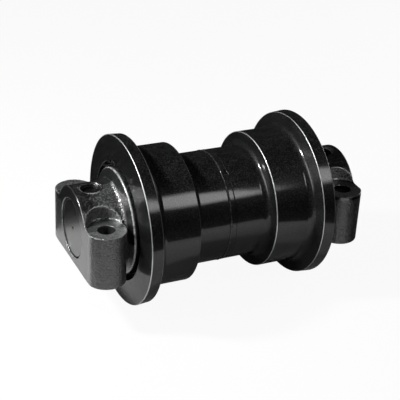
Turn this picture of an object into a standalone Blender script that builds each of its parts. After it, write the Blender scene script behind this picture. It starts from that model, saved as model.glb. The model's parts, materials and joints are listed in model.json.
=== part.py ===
"""Bottom track roller of a crawler excavator, taken apart into its separate pieces.

A flanged shell, welded from two forged halves, turns on a fixed shaft. Two flanged bushings carry
it, a floating face seal at each end keeps the oil in, and a cast collar on each shaft end bolts the
roller to the track frame. X runs along the shaft, Z is up and the origin is the roller's middle.
Sizes are in metres.
"""

import math

import bmesh
import bpy
from mathutils import Matrix, Vector

# Fits
GAP = 0.0003
RUNNING_GAP = 0.002

# Shell
SHELL_WIDTH = 0.2210
TREAD_DIAMETER = 0.1538
TREAD_INNER_SPACING = 0.0902
FLANGE_HEIGHT = 0.0171
FLANGE_RIM_WIDTH = 0.0135
FLANGE_RIM_TAPER = 0.0011
FLANGE_FACE_RISE = 0.0026
FLANGE_FLANK_LEAN = 0.0055
SHOULDER_LEAN = 0.0016
NECK_DEPTH = 0.01485
NECK_FILLET = 0.0080
FLANGE_FILLET = 0.0075
EDGE_BREAK = 0.0008

# Weld seam between the two halves
WELD_WIDTH = 0.0080
WELD_DEPTH = 0.0024
WELD_CROWN = 0.0006

# Shaft and oil passage
SHAFT_DIAMETER = 0.0650
SHAFT_RECESS = 0.0015
SHAFT_CHAMFER = 0.0015
CENTRE_HOLE_DIAMETER = 0.0040
OIL_PASSAGE_DIAMETER = 0.0100
OIL_CROSS_HOLE_DIAMETER = 0.0080
OIL_SPACE_DEPTH = 0.0020
PLUG_DIAMETER = 0.0180
PLUG_LENGTH = 0.0080
PLUG_SOCKET_WIDTH = 0.0080
PLUG_SOCKET_DEPTH = 0.0045

# Bushings
BUSHING_LENGTH = 0.0500
BUSHING_WALL = 0.0060
BUSHING_FLANGE_HEIGHT = 0.0072
BUSHING_FLANGE_THICKNESS = 0.0050

# Floating face seals
SEAL_FACE_THICKNESS = 0.0028
SEAL_STEM_WALL = 0.0036
SEAL_STEM_CLEARANCE = 0.0022
RUBBER_RING_THICKNESS = 0.0060
RUBBER_RING_SPARE = 0.0009

# Collars
NOSE_WALL = 0.0097
DISC_LIP = 0.0053
DISC_WALL = 0.0031
DISC_STAND_OUT = 0.0023
DISC_FLARE = 0.0052
DISC_MOUTH_CLEARANCE = 0.0068
HUB_WALL = 0.0133
HUB_FILLET = 0.0030
HUB_EDGE_ROUND = 0.0025
BASE_WALL = 0.0066
BOSS_DIAMETER = 0.0428
BOSS_STAND_OFF = 0.0071
BOSS_BORE_LAP = 0.0042
BOSS_TRIM = 0.0007
BOSS_HUB_OVERLAP = math.radians(20)
BOLT_HOLE_DIAMETER = 0.0190
BOLT_SEAT_RISE = 0.0204
BOSS_RIM_WIDTH = 0.0012
BOSS_RIM_RISE = 0.0004
SPOT_FACE_DEPTH = 0.0017
SOCKET_LEDGE = 0.0030

# Shaft seals and lock pins
RUBBER_CORD_DIAMETER = 0.0024
LOCK_PIN_DIAMETER = 0.0205
LOCK_PIN_BITE = 0.0160
PIN_SPOT_DIAMETER = 0.0248
PIN_SPOT_DEPTH = 0.0028
SNAP_RING_THICKNESS = 0.0015
SNAP_RING_WIDTH = 0.0028
SNAP_RING_LIP = 0.0011
SNAP_GROOVE_DEPTH = 0.0007

# Roundness of the meshes
SHELL_SEGMENTS = 48
COLLAR_SEGMENTS = 36
INNER_SEGMENTS = 36
PIN_SEGMENTS = 24
RUBBER_SIDES = 6
FILLET_STEPS = 3
SHARP_ANGLE = math.radians(32)

# Radii that several pieces share
TREAD_RADIUS = TREAD_DIAMETER / 2
FLANGE_RADIUS = TREAD_RADIUS + FLANGE_HEIGHT
NECK_RADIUS = TREAD_RADIUS - NECK_DEPTH
SHAFT_RADIUS = SHAFT_DIAMETER / 2
SHAFT_BORE = SHAFT_RADIUS + GAP
BUSHING_RADIUS = SHAFT_BORE + BUSHING_WALL
NOSE_RADIUS = SHAFT_BORE + NOSE_WALL
SEAL_BORE_RADIUS = NOSE_RADIUS + RUNNING_GAP / 2
SEAL_STEM_RADIUS = SEAL_BORE_RADIUS + SEAL_STEM_WALL
HOUSING_RADIUS = SEAL_STEM_RADIUS + RUBBER_RING_THICKNESS + 2 * GAP
DISC_RADIUS = HOUSING_RADIUS + DISC_LIP
HUB_RADIUS = SHAFT_BORE + HUB_WALL
BOSS_RADIUS = BOSS_DIAMETER / 2
PIN_HOLE_RADIUS = LOCK_PIN_DIAMETER / 2 + GAP

# Stations along the shaft, from the middle outwards
SHELL_FACE = SHELL_WIDTH / 2
DISC_FACE = SHELL_FACE + DISC_STAND_OUT
SEAL_HOUSING_DEPTH = SEAL_FACE_THICKNESS + RUBBER_RING_THICKNESS + RUBBER_RING_SPARE
SEAL_PLANE = DISC_FACE - DISC_WALL - SEAL_HOUSING_DEPTH
SEAL_RING_WIDTH = SEAL_HOUSING_DEPTH - SEAL_STEM_CLEARANCE
BUSHING_FLANGE_FACE = SEAL_PLANE - SEAL_RING_WIDTH - 2 * GAP - EDGE_BREAK
BUSHING_SEAT = BUSHING_FLANGE_FACE - BUSHING_FLANGE_THICKNESS
BOLT_X = DISC_FACE + BOSS_STAND_OFF + BOSS_RADIUS
COLLAR_FACE = BOLT_X + BOSS_RADIUS - BOSS_TRIM
SHAFT_END = COLLAR_FACE - SHAFT_RECESS

# Places across the shaft and heights
BOLT_Y = SHAFT_BORE + BOSS_RADIUS - BOSS_BORE_LAP
BASE_DROP = SHAFT_BORE + BASE_WALL
SOCKET_FLOOR_RISE = BOLT_SEAT_RISE + SPOT_FACE_DEPTH
PIN_SPOT_HEIGHT = HUB_RADIUS - PIN_SPOT_DEPTH
PIN_TOP = PIN_SPOT_HEIGHT - SNAP_RING_LIP - SNAP_RING_THICKNESS - 3 * GAP
PIN_BOTTOM = SHAFT_RADIUS - LOCK_PIN_BITE


def clear_scene():
    for old in list(bpy.data.objects):
        bpy.data.objects.remove(old, do_unlink=True)


def finish(name, colour, roughness, metallic):
    material = bpy.data.materials.new(name)
    material.use_nodes = True
    shader = material.node_tree.nodes["Principled BSDF"]
    shader.inputs["Base Color"].default_value = (*colour, 1.0)
    shader.inputs["Roughness"].default_value = roughness
    shader.inputs["Metallic"].default_value = metallic
    return material


def rounded(corners):
    """Points of an outline whose corners are (along, radius, fillet), each fillet held by its walls."""
    points = []
    for index, (along, radius, fillet) in enumerate(corners):
        corner = Vector((along, radius))
        if not fillet:
            points.append(corner)
            continue
        before = Vector(corners[index - 1][:2]) - corner
        after = Vector(corners[(index + 1) % len(corners)][:2]) - corner
        half = before.angle(after) / 2
        reach = min(fillet / math.tan(half), before.length * 0.45, after.length * 0.45)
        start = before.normalized() * reach
        end = after.normalized() * reach
        middle = (start + end).normalized() * (reach / math.cos(half))
        bend = reach * math.tan(half)
        steps = FILLET_STEPS if fillet > EDGE_BREAK else 1
        for step in range(steps + 1):
            spoke = (start - middle).slerp(end - middle, step / steps)
            points.append(corner + middle + spoke * bend)
    return points


def new_mesh(name, shape):
    bmesh.ops.recalc_face_normals(shape, faces=shape.faces)
    mesh = bpy.data.meshes.new(name)
    shape.to_mesh(mesh)
    shape.free()
    return mesh


def turned(name, outline, segments):
    """A body turned about X from (along, radius) points. An outline that starts on the axis ends there."""
    shape = bmesh.new()
    points = [shape.verts.new((along, 0, radius)) for along, radius in outline]
    solid = outline[0][1] == 0
    pairs = list(zip(points, points[1:]))
    if not solid:
        pairs.append((points[-1], points[0]))
    edges = [shape.edges.new(pair) for pair in pairs]
    bmesh.ops.spin(
        shape,
        geom=points + edges,
        cent=(0, 0, 0),
        axis=(1, 0, 0),
        angle=math.tau,
        steps=segments,
        use_merge=True,
    )
    bmesh.ops.remove_doubles(shape, verts=shape.verts, dist=1e-7)
    return new_mesh(name, shape)


def upright(mesh, x, y):
    """Turns a mesh made about X so that it stands along Z at x, y."""
    mesh.transform(Matrix.Translation((x, y, 0)) @ Matrix.Rotation(-math.pi / 2, 4, "Y"))
    return mesh


def rod(name, start, end, radius, segments):
    outline = [(start, 0), (start, radius), (end, radius), (end, 0)]
    return turned(name, outline, segments)


def extruded(name, outline, low, high):
    shape = bmesh.new()
    face = shape.faces.new([shape.verts.new((x, y, low)) for x, y in outline])
    walls = bmesh.ops.extrude_face_region(shape, geom=[face])["geom"]
    top = [item for item in walls if isinstance(item, bmesh.types.BMVert)]
    bmesh.ops.translate(shape, verts=top, vec=(0, 0, high - low))
    return new_mesh(name, shape)


def helper(mesh):
    tool = bpy.data.objects.new(mesh.name, mesh)
    tool.hide_render = True
    tool.display_type = "WIRE"
    bpy.context.collection.objects.link(tool)
    return tool


def carved(mesh, steps):
    """The mesh after Boolean steps of (operation, tool mesh), with the tools removed again."""
    body = helper(mesh)
    tools = []
    for operation, tool_mesh in steps:
        tool = helper(tool_mesh)
        modifier = body.modifiers.new(tool_mesh.name, "BOOLEAN")
        modifier.operation = operation
        modifier.solver = "EXACT"
        modifier.object = tool
        tools.append(tool)
    graph = bpy.context.evaluated_depsgraph_get()
    result = bpy.data.meshes.new_from_object(body.evaluated_get(graph))
    for used in [body, *tools]:
        bpy.data.objects.remove(used, do_unlink=True)
    return result


def place(name, mesh, material, parent, mirrored=False):
    """One named piece, its origin on the shaft axis. A mirrored piece is turned half round about Z."""
    mesh.materials.clear()
    mesh.materials.append(material)
    mesh.shade_smooth()
    mesh.set_sharp_from_angle(angle=SHARP_ANGLE)
    piece = bpy.data.objects.new(name, mesh)
    bpy.context.collection.objects.link(piece)
    piece.parent = parent
    if mirrored:
        piece.rotation_euler.z = math.pi
    return piece


def place_pair(name, mesh, material, parent):
    place(f"{name}_right", mesh, material, parent)
    place(f"{name}_left", mesh, material, parent, mirrored=True)


def body_empty(name):
    empty = bpy.data.objects.new(name, None)
    bpy.context.collection.objects.link(empty)
    return empty


def shell_half():
    """Half of the shell: neck, tread, flange, and the bores for the seal and the bushing."""
    rim_outer = SHELL_FACE - FLANGE_FACE_RISE
    rim_inner = rim_outer - FLANGE_RIM_WIDTH
    tread_inner = TREAD_INNER_SPACING / 2
    mouth = DISC_RADIUS + DISC_MOUTH_CLEARANCE
    mouth_floor = SEAL_PLANE - RUNNING_GAP / 2
    bushing_bore = BUSHING_RADIUS + GAP
    bushing_end = BUSHING_SEAT - BUSHING_LENGTH - GAP
    oil_space = bushing_bore - OIL_SPACE_DEPTH
    groove = NECK_RADIUS - WELD_DEPTH
    corners = [
        (GAP / 2, groove, 0),
        (WELD_WIDTH / 2, groove, 0),
        (WELD_WIDTH / 2, NECK_RADIUS, 0),
        (tread_inner - SHOULDER_LEAN, NECK_RADIUS, NECK_FILLET),
        (tread_inner, TREAD_RADIUS, EDGE_BREAK),
        (rim_inner - FLANGE_FLANK_LEAN, TREAD_RADIUS, FLANGE_FILLET),
        (rim_inner, FLANGE_RADIUS - FLANGE_RIM_TAPER, EDGE_BREAK),
        (rim_outer, FLANGE_RADIUS, EDGE_BREAK),
        (SHELL_FACE, mouth, EDGE_BREAK),
        (mouth_floor, mouth, 0),
        (mouth_floor, HOUSING_RADIUS, 0),
        (BUSHING_SEAT - GAP, HOUSING_RADIUS, 0),
        (BUSHING_SEAT - GAP, bushing_bore, 0),
        (bushing_end, bushing_bore, 0),
        (bushing_end, oil_space, 0),
        (GAP / 2, oil_space, 0),
    ]
    return turned("shell_half", rounded(corners), SHELL_SEGMENTS)


def weld_seam():
    """The ring of weld metal that fills the groove between the halves and stands a little proud."""
    root = NECK_RADIUS - WELD_DEPTH + GAP
    crown = NECK_RADIUS + WELD_CROWN
    edge = WELD_WIDTH / 2 - GAP
    outline = [
        (-edge, root),
        (-edge, NECK_RADIUS),
        (-edge / 2, crown),
        (edge / 2, crown),
        (edge, NECK_RADIUS),
        (edge, root),
    ]
    return turned("weld_seam", outline, SHELL_SEGMENTS)


def bushing():
    flange = BUSHING_RADIUS + BUSHING_FLANGE_HEIGHT
    start = BUSHING_SEAT - BUSHING_LENGTH
    outline = [
        (start, SHAFT_BORE),
        (start, BUSHING_RADIUS),
        (BUSHING_SEAT, BUSHING_RADIUS),
        (BUSHING_SEAT, flange),
        (BUSHING_FLANGE_FACE, flange),
        (BUSHING_FLANGE_FACE, SHAFT_BORE),
    ]
    return turned("bushing", outline, INNER_SEGMENTS)


def seal_ring(side):
    """A hard metal seal ring, an L in section. Side is -1 on the shell's side of the seal plane, 1 on the collar's."""
    face = SEAL_PLANE + side * GAP / 2
    back = SEAL_PLANE + side * SEAL_RING_WIDTH
    shoulder = SEAL_PLANE + side * SEAL_FACE_THICKNESS
    rim = HOUSING_RADIUS - RUNNING_GAP / 2
    outline = [
        (face, SEAL_BORE_RADIUS),
        (face, rim),
        (shoulder, rim),
        (shoulder, SEAL_STEM_RADIUS),
        (back, SEAL_STEM_RADIUS),
        (back, SEAL_BORE_RADIUS),
    ]
    return turned("seal_ring", outline, INNER_SEGMENTS)


def round_ring(name, along, mean_radius, thickness):
    section = []
    for side in range(RUBBER_SIDES):
        angle = math.tau * side / RUBBER_SIDES
        across = math.cos(angle) * thickness / 2
        outwards = math.sin(angle) * thickness / 2
        section.append((along + across, mean_radius + outwards))
    return turned(name, section, INNER_SEGMENTS)


def rubber_ring(side):
    """The rubber ring that presses a seal ring against its partner and holds it in its housing."""
    mean = (SEAL_STEM_RADIUS + HOUSING_RADIUS) / 2
    along = SEAL_PLANE + side * (SEAL_FACE_THICKNESS + RUBBER_RING_THICKNESS / 2 + GAP)
    return round_ring("rubber_ring", along, mean, RUBBER_RING_THICKNESS)


def cord_groove():
    """Start, end and radius of the groove in the collar's bore that holds the shaft's rubber cord ring."""
    start = DISC_FACE - DISC_FLARE - RUBBER_CORD_DIAMETER
    end = start + RUBBER_CORD_DIAMETER + 2 * GAP
    return start, end, SHAFT_RADIUS + RUBBER_CORD_DIAMETER + 2 * GAP


def cord_ring():
    start, end, _ = cord_groove()
    mean = SHAFT_RADIUS + GAP + RUBBER_CORD_DIAMETER / 2
    return round_ring("cord_ring", (start + end) / 2, mean, RUBBER_CORD_DIAMETER)


def collar_core():
    """The turned part of a collar, still without its shaft bore: nose, seal housing, disc and hub."""
    nose = BUSHING_FLANGE_FACE + GAP
    disc_back = SEAL_PLANE + RUNNING_GAP / 2
    housing_floor = SEAL_PLANE + SEAL_HOUSING_DEPTH
    corners = [
        (nose, 0, 0),
        (nose, NOSE_RADIUS, 0),
        (housing_floor, NOSE_RADIUS, 0),
        (housing_floor, HOUSING_RADIUS, 0),
        (disc_back, HOUSING_RADIUS, 0),
        (disc_back, DISC_RADIUS, 0),
        (DISC_FACE, DISC_RADIUS, EDGE_BREAK),
        (DISC_FACE + DISC_FLARE, HUB_RADIUS, HUB_FILLET),
        (COLLAR_FACE, HUB_RADIUS, HUB_EDGE_ROUND),
        (COLLAR_FACE, 0, 0),
    ]
    return turned("collar_core", rounded(corners), COLLAR_SEGMENTS)


def shaft_bore():
    """The bore for the shaft, with the groove for its rubber cord ring and a broken edge at the outer face."""
    groove_start, groove_end, groove_radius = cord_groove()
    outline = [
        (SEAL_PLANE - SHAFT_DIAMETER, 0),
        (SEAL_PLANE - SHAFT_DIAMETER, SHAFT_BORE),
        (groove_start, SHAFT_BORE),
        (groove_start, groove_radius),
        (groove_end, groove_radius),
        (groove_end, SHAFT_BORE),
        (COLLAR_FACE - EDGE_BREAK, SHAFT_BORE),
        (COLLAR_FACE + EDGE_BREAK, SHAFT_BORE + 2 * EDGE_BREAK),
        (COLLAR_FACE + EDGE_BREAK, 0),
    ]
    return turned("shaft_bore", outline, INNER_SEGMENTS)


def ear_outline():
    """The two bolt bosses and the slab between them, seen from above, cut flat at the collar's outer face."""
    first = math.acos((COLLAR_FACE - BOLT_X) / BOSS_RADIUS)
    last = math.pi + BOSS_HUB_OVERLAP
    steps = COLLAR_SEGMENTS // 2
    arc = []
    for step in range(steps + 1):
        angle = first + (last - first) * step / steps
        arc.append((BOLT_X + BOSS_RADIUS * math.cos(angle), BOLT_Y + BOSS_RADIUS * math.sin(angle)))
    return arc + [(x, -y) for x, y in reversed(arc)]


def pin_bore():
    """The spot face, snap ring groove and hole for a lock pin, down through the hub into the shaft."""
    above = HUB_RADIUS + PIN_SPOT_DEPTH
    spot = PIN_SPOT_DIAMETER / 2
    ring_low = PIN_TOP + GAP
    ring_high = ring_low + SNAP_RING_THICKNESS + 2 * GAP
    groove = PIN_HOLE_RADIUS + SNAP_GROOVE_DEPTH
    outline = [
        (above, 0),
        (above, spot),
        (PIN_SPOT_HEIGHT, spot),
        (PIN_SPOT_HEIGHT, PIN_HOLE_RADIUS),
        (ring_high, PIN_HOLE_RADIUS),
        (ring_high, groove),
        (ring_low, groove),
        (ring_low, PIN_HOLE_RADIUS),
        (PIN_BOTTOM - GAP, PIN_HOLE_RADIUS),
        (PIN_BOTTOM - GAP, 0),
    ]
    return upright(turned("pin_bore", outline, PIN_SEGMENTS), BOLT_X, 0)


def bolt_bore(y):
    """The hole for a mounting bolt, its spot-faced seat and the room above for a socket."""
    above = 2 * HUB_RADIUS
    seat = BOSS_RADIUS - BOSS_RIM_WIDTH
    socket = seat + SOCKET_LEDGE
    hole = BOLT_HOLE_DIAMETER / 2
    outline = [
        (above, 0),
        (above, socket),
        (SOCKET_FLOOR_RISE, socket),
        (SOCKET_FLOOR_RISE, seat),
        (BOLT_SEAT_RISE, seat),
        (BOLT_SEAT_RISE, hole),
        (-above, hole),
        (-above, 0),
    ]
    return upright(turned("bolt_bore", outline, COLLAR_SEGMENTS), BOLT_X, y)


def base_cut():
    """What is cut away below the collar's flat base, from the disc's front outwards."""
    start = DISC_FACE + DISC_FLARE / 2
    end = COLLAR_FACE + BOSS_RADIUS
    side = BOLT_Y + BOSS_DIAMETER
    outline = [(start, -side), (end, -side), (end, side), (start, side)]
    return extruded("base_cut", outline, -BASE_DROP - HUB_RADIUS, -BASE_DROP)


def collar():
    """A cast collar: the turned core joined to the bolt bosses, cut flat below, then bored and drilled."""
    ears = extruded("ears", ear_outline(), -HUB_RADIUS, BOLT_SEAT_RISE + BOSS_RIM_RISE)
    steps = [("UNION", ears)]
    for cut in (base_cut(), shaft_bore(), bolt_bore(-BOLT_Y), bolt_bore(BOLT_Y), pin_bore()):
        steps.append(("DIFFERENCE", cut))
    return carved(collar_core(), steps)


def shaft():
    """The fixed shaft, with a lathe centre at its left end and the oil passage from its right end."""
    passage = OIL_PASSAGE_DIAMETER / 2
    plug_floor = SHAFT_END - PLUG_LENGTH - 2 * GAP
    outline = [
        (-SHAFT_END + CENTRE_HOLE_DIAMETER / 2, 0),
        (-SHAFT_END, CENTRE_HOLE_DIAMETER / 2),
        (-SHAFT_END, SHAFT_RADIUS - SHAFT_CHAMFER),
        (-SHAFT_END + SHAFT_CHAMFER, SHAFT_RADIUS),
        (SHAFT_END - SHAFT_CHAMFER, SHAFT_RADIUS),
        (SHAFT_END, SHAFT_RADIUS - SHAFT_CHAMFER),
        (SHAFT_END, PLUG_DIAMETER / 2 + GAP),
        (plug_floor, PLUG_DIAMETER / 2 + GAP),
        (plug_floor, passage),
        (-passage, passage),
        (-passage, 0),
    ]
    cross_hole = upright(rod("cross_hole", -SHAFT_DIAMETER, 0, OIL_CROSS_HOLE_DIAMETER / 2, PIN_SEGMENTS), 0, 0)
    pin_bore_left = pin_bore()
    pin_bore_left.transform(Matrix.Rotation(math.pi, 4, "Z"))
    steps = [("DIFFERENCE", tool) for tool in (cross_hole, pin_bore(), pin_bore_left)]
    return carved(turned("shaft", outline, INNER_SEGMENTS), steps)


def oil_plug():
    """The threaded plug in the shaft's right end, with a hexagon socket."""
    start = SHAFT_END - PLUG_LENGTH - GAP
    body = rod("oil_plug", start, SHAFT_END - GAP, PLUG_DIAMETER / 2, PIN_SEGMENTS)
    corner = PLUG_SOCKET_WIDTH / math.sqrt(3)
    socket = rod("socket", SHAFT_END - GAP - PLUG_SOCKET_DEPTH, SHAFT_END + PLUG_SOCKET_DEPTH, corner, 6)
    return carved(body, [("DIFFERENCE", socket)])


def lock_pin():
    radius = LOCK_PIN_DIAMETER / 2
    corners = [
        (PIN_BOTTOM, 0, 0),
        (PIN_BOTTOM, radius, EDGE_BREAK),
        (PIN_TOP, radius, EDGE_BREAK),
        (PIN_TOP, 0, 0),
    ]
    return upright(turned("lock_pin", rounded(corners), PIN_SEGMENTS), BOLT_X, 0)


def snap_ring():
    low = PIN_TOP + 2 * GAP
    high = low + SNAP_RING_THICKNESS
    outer = PIN_HOLE_RADIUS + SNAP_GROOVE_DEPTH - GAP
    inner = outer - SNAP_RING_WIDTH
    outline = [(low, inner), (low, outer), (high, outer), (high, inner)]
    return upright(turned("snap_ring", outline, PIN_SEGMENTS), BOLT_X, 0)


def build():
    clear_scene()
    painted_forging = finish("painted_forging", (0.012, 0.013, 0.013), 0.32, 0.0)
    painted_casting = finish("painted_casting", (0.020, 0.021, 0.021), 0.48, 0.0)
    weld_metal = finish("painted_weld", (0.016, 0.017, 0.017), 0.40, 0.0)
    ground_steel = finish("ground_steel", (0.30, 0.30, 0.29), 0.38, 1.0)
    bronze = finish("bronze_lining", (0.42, 0.26, 0.12), 0.40, 1.0)
    seal_iron = finish("lapped_seal_iron", (0.36, 0.36, 0.37), 0.22, 1.0)
    rubber = finish("black_nitrile_rubber", (0.010, 0.010, 0.010), 0.70, 0.0)
    spring_steel = finish("spring_steel", (0.22, 0.22, 0.23), 0.40, 1.0)

    carrier = body_empty("carrier")
    roller = body_empty("roller")

    place_pair("shell_half", shell_half(), painted_forging, roller)
    place("weld_seam", weld_seam(), weld_metal, roller)
    place_pair("bushing", bushing(), bronze, roller)
    place_pair("shell_seal_ring", seal_ring(-1), seal_iron, roller)
    place_pair("shell_rubber_ring", rubber_ring(-1), rubber, roller)

    place("shaft", shaft(), ground_steel, carrier)
    place_pair("collar", collar(), painted_casting, carrier)
    place_pair("collar_seal_ring", seal_ring(1), seal_iron, carrier)
    place_pair("collar_rubber_ring", rubber_ring(1), rubber, carrier)
    place_pair("shaft_cord_ring", cord_ring(), rubber, carrier)
    place_pair("lock_pin", lock_pin(), ground_steel, carrier)
    place_pair("snap_ring", snap_ring(), spring_steel, carrier)
    place("oil_plug", oil_plug(), spring_steel, carrier)


build()
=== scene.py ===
# %% [markdown]
# # A bottom track roller in black paint
# The part is a roller from under a crawler excavator. A flanged shell turns on a fixed shaft, and a
# cast collar at each end is bolted to the track frame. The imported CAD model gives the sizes, the
# places and the motion. This lesson gives it its surfaces: the turned shell, the weld, the rough
# castings, their paints and the light of a product picture.

import json
import math

import bpy
import numpy as np
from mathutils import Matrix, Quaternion, Vector


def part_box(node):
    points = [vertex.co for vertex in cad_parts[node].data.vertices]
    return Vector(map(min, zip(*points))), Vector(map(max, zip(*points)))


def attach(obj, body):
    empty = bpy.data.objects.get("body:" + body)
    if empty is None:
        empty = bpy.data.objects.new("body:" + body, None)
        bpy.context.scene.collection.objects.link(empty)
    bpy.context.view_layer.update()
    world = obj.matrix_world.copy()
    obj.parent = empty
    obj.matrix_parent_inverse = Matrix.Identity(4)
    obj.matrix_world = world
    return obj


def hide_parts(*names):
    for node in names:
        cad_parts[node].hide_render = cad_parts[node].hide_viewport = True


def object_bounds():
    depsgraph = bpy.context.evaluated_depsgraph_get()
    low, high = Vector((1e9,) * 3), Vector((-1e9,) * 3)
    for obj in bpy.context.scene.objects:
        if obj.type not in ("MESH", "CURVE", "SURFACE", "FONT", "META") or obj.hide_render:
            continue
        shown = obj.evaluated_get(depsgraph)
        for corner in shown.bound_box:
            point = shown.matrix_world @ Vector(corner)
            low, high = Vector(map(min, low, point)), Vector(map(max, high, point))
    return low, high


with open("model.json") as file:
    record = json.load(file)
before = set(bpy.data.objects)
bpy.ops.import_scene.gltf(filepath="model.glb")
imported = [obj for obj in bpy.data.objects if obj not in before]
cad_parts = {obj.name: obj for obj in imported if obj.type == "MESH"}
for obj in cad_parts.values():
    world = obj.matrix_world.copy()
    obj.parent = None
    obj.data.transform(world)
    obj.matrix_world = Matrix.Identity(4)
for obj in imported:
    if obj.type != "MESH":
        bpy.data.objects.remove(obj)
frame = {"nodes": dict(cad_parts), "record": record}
CAD_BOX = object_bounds()
MM = 0.001
print("CAD box in mm:", [[round(v / MM, 1) for v in corner] for corner in CAD_BOX])

# %% [markdown]
# ## The camera
# A camera could be moved by hand until the outlines agree. Here the ellipses of the two flanges in
# the picture gave its place: left of the roller, above it, and about 1.2 m away, with a long lens.
# It aims close to the middle of the roller and is rolled by three degrees. Place and target are in
# metres, in the frame of the part.

# %% Camera
CAMERA_PLACE = Vector((-0.4988, -0.9912, 0.5824))
CAMERA_TARGET = Vector((-0.0195, -0.0159, 0.0170))
CAMERA_ROLL = math.radians(3.18)
CAMERA_LENS = 100.6

camera = bpy.data.objects.new("camera", bpy.data.cameras.new("camera"))
camera.data.lens = CAMERA_LENS
camera.location = CAMERA_PLACE
camera.rotation_mode = "QUATERNION"
aim = (CAMERA_TARGET - CAMERA_PLACE).to_track_quat("-Z", "Y")
camera.rotation_quaternion = aim @ Quaternion((0, 0, 1), CAMERA_ROLL)
bpy.context.scene.collection.objects.link(camera)
bpy.context.scene.camera = camera
print("camera", round((CAMERA_TARGET - CAMERA_PLACE).length, 3), "m from its target")

# %% [markdown]
# ## Helpers for finishes
# Nodes could be drawn by hand in the shader editor, but lines of code can be read and repeated.
# Colours are written as sRGB hex values, as a picture shows them, and Blender calculates with linear
# light, so one function converts them. Another one adds a shader node: its properties are set by
# name, and each input gets a value, one of another node's outputs, or a node, whose first output in
# use is then taken.

# %% Helpers for finishes
def linear(hex_colour):
    """The linear colour of an sRGB hex value such as 8A8A88."""
    steps = [int(hex_colour[i : i + 2], 16) / 255 for i in (0, 2, 4)]
    return [s / 12.92 if s <= 0.04045 else ((s + 0.055) / 1.055) ** 2.4 for s in steps] + [1.0]


def connect(tree, node, sockets):
    """Gives a node's inputs, by name or number, their values and links."""
    for name, value in sockets.items():
        if isinstance(value, bpy.types.Node):
            value = next(output for output in value.outputs if output.enabled)
        if isinstance(value, bpy.types.NodeSocket):
            tree.links.new(value, node.inputs[name])
        else:
            node.inputs[name].default_value = value


def add(tree, kind, sockets=(), **settings):
    """A new shader node with its properties set and its inputs connected."""
    made = tree.nodes.new("ShaderNode" + kind)
    for name, value in settings.items():
        setattr(made, name, value)
    connect(tree, made, dict(sockets))
    return made


def new_finish(name, **constants):
    """A material, its tree, its Principled shader with constants set, and texture coordinates."""
    material = bpy.data.materials.new(name)
    material.use_nodes = True
    tree = material.node_tree
    shader = tree.nodes["Principled BSDF"]
    connect(tree, shader, {socket.replace("_", " "): value for socket, value in constants.items()})
    return material, tree, shader, add(tree, "TexCoord").outputs


def per_metre(size_mm):
    """A texture's scale for a feature of this size, because object coordinates are in metres."""
    return 1 / (size_mm * MM)


print("8A8A88 is", [round(v, 3) for v in linear("8A8A88")])

# %% [markdown]
# ## Black enamel on turned steel
# The shell is forged, turned on a lathe and sprayed with glossy black enamel. Enamel is a resin with
# an IOR near 1.5 that dries smooth, so the eye sees a clear reflection of the floor, which comes from
# the shader's coat. The pigment under it is rougher and almost black. Dust has settled on what faces
# up, more in some patches than in others, and gives the treads a grey haze. On the sharp turned edges
# the paint is rubbed thin and bright steel shows; on the edges that face the lamp on the left this
# bright steel is also a painted highlight. The mesh stores where that is in an attribute of its
# points. Painted images could hold all this, but noise in real millimetres needs no unwrapping.

# %% Colour of the enamel
HAZE_PATCH_MM = 14
# Real dust is about ten times finer. It is drawn this coarse so that the render shows it.
DUST_SPECK_MM = 1.4
# Most of a noise texture's values lie between these two.
NOISE_MIDDLE = {"From Min": 0.3, "From Max": 0.7}

enamel, tree, shader, coords = new_finish(
    "black_enamel_on_turned_steel",
    IOR=1.5,
    Specular_IOR_Level=0.2,
    Coat_Weight=0.8,
    Coat_IOR=1.5,
    Coat_Roughness=0.105,
)
place = coords["Object"]
worn = add(tree, "Attribute", attribute_name="worn").outputs["Fac"]
patch_size = {"Scale": per_metre(HAZE_PATCH_MM), "Detail": 5.0, "Roughness": 0.6}
patches = add(tree, "TexNoise", {"Vector": place, **patch_size})
haze = add(tree, "MapRange", {"Value": patches, **NOISE_MIDDLE, "To Min": 0.5})
specks = add(tree, "TexNoise", {"Vector": place, "Scale": per_metre(DUST_SPECK_MM), "Detail": 1.0})
dust = add(tree, "MapRange", {"Value": specks, "From Min": 0.44, "From Max": 0.66})
upward = add(tree, "SeparateXYZ", {0: coords["Normal"]}).outputs["Z"]
settled = add(tree, "MapRange", {"Value": upward, "From Min": -0.2, "From Max": 0.8, "To Min": 0.3})
grime = add(tree, "Math", {0: dust, 1: haze}, operation="MULTIPLY")
film = add(tree, "Math", {0: grime, 1: settled}, operation="MULTIPLY")
black, dusty, steel = linear("030303"), linear("363737"), linear("D6D8D7")
paint = add(tree, "Mix", {"Factor": film, "A": black, "B": dusty}, data_type="RGBA")
colour = add(tree, "Mix", {"Factor": worn, "A": paint, "B": steel}, data_type="RGBA")
connect(tree, shader, {"Base Color": colour, "Metallic": worn})
print("colour of", enamel.name, "in patches of", HAZE_PATCH_MM, "mm")

# %% [markdown]
# ## Gloss and relief of the enamel
# The gloss drifts with the same patches as the haze. The lathe tool left fine rings, and sprayed
# paint dries with a faint orange peel. Both could be modelled, but they are only hundredths of a
# millimetre high, so bumps in the shader are enough.

# %% Gloss and relief of the enamel
# Real tool marks are about 0.3 mm apart. They are drawn this coarse so that the render shows them.
TOOL_MARKS_MM = 6.91
TOOL_MARK_HEIGHT_MM = 0.02
PAINT_PEEL_MM = 2.2
PAINT_PEEL_HEIGHT_MM = 0.05
# At scale one, Blender's wave texture runs through this many radians in each unit of length.
WAVE_RADIANS = 20


def wave_scale(spacing_mm):
    """The wave texture's scale for rings this far apart."""
    return per_metre(spacing_mm) * math.tau / WAVE_RADIANS


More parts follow.
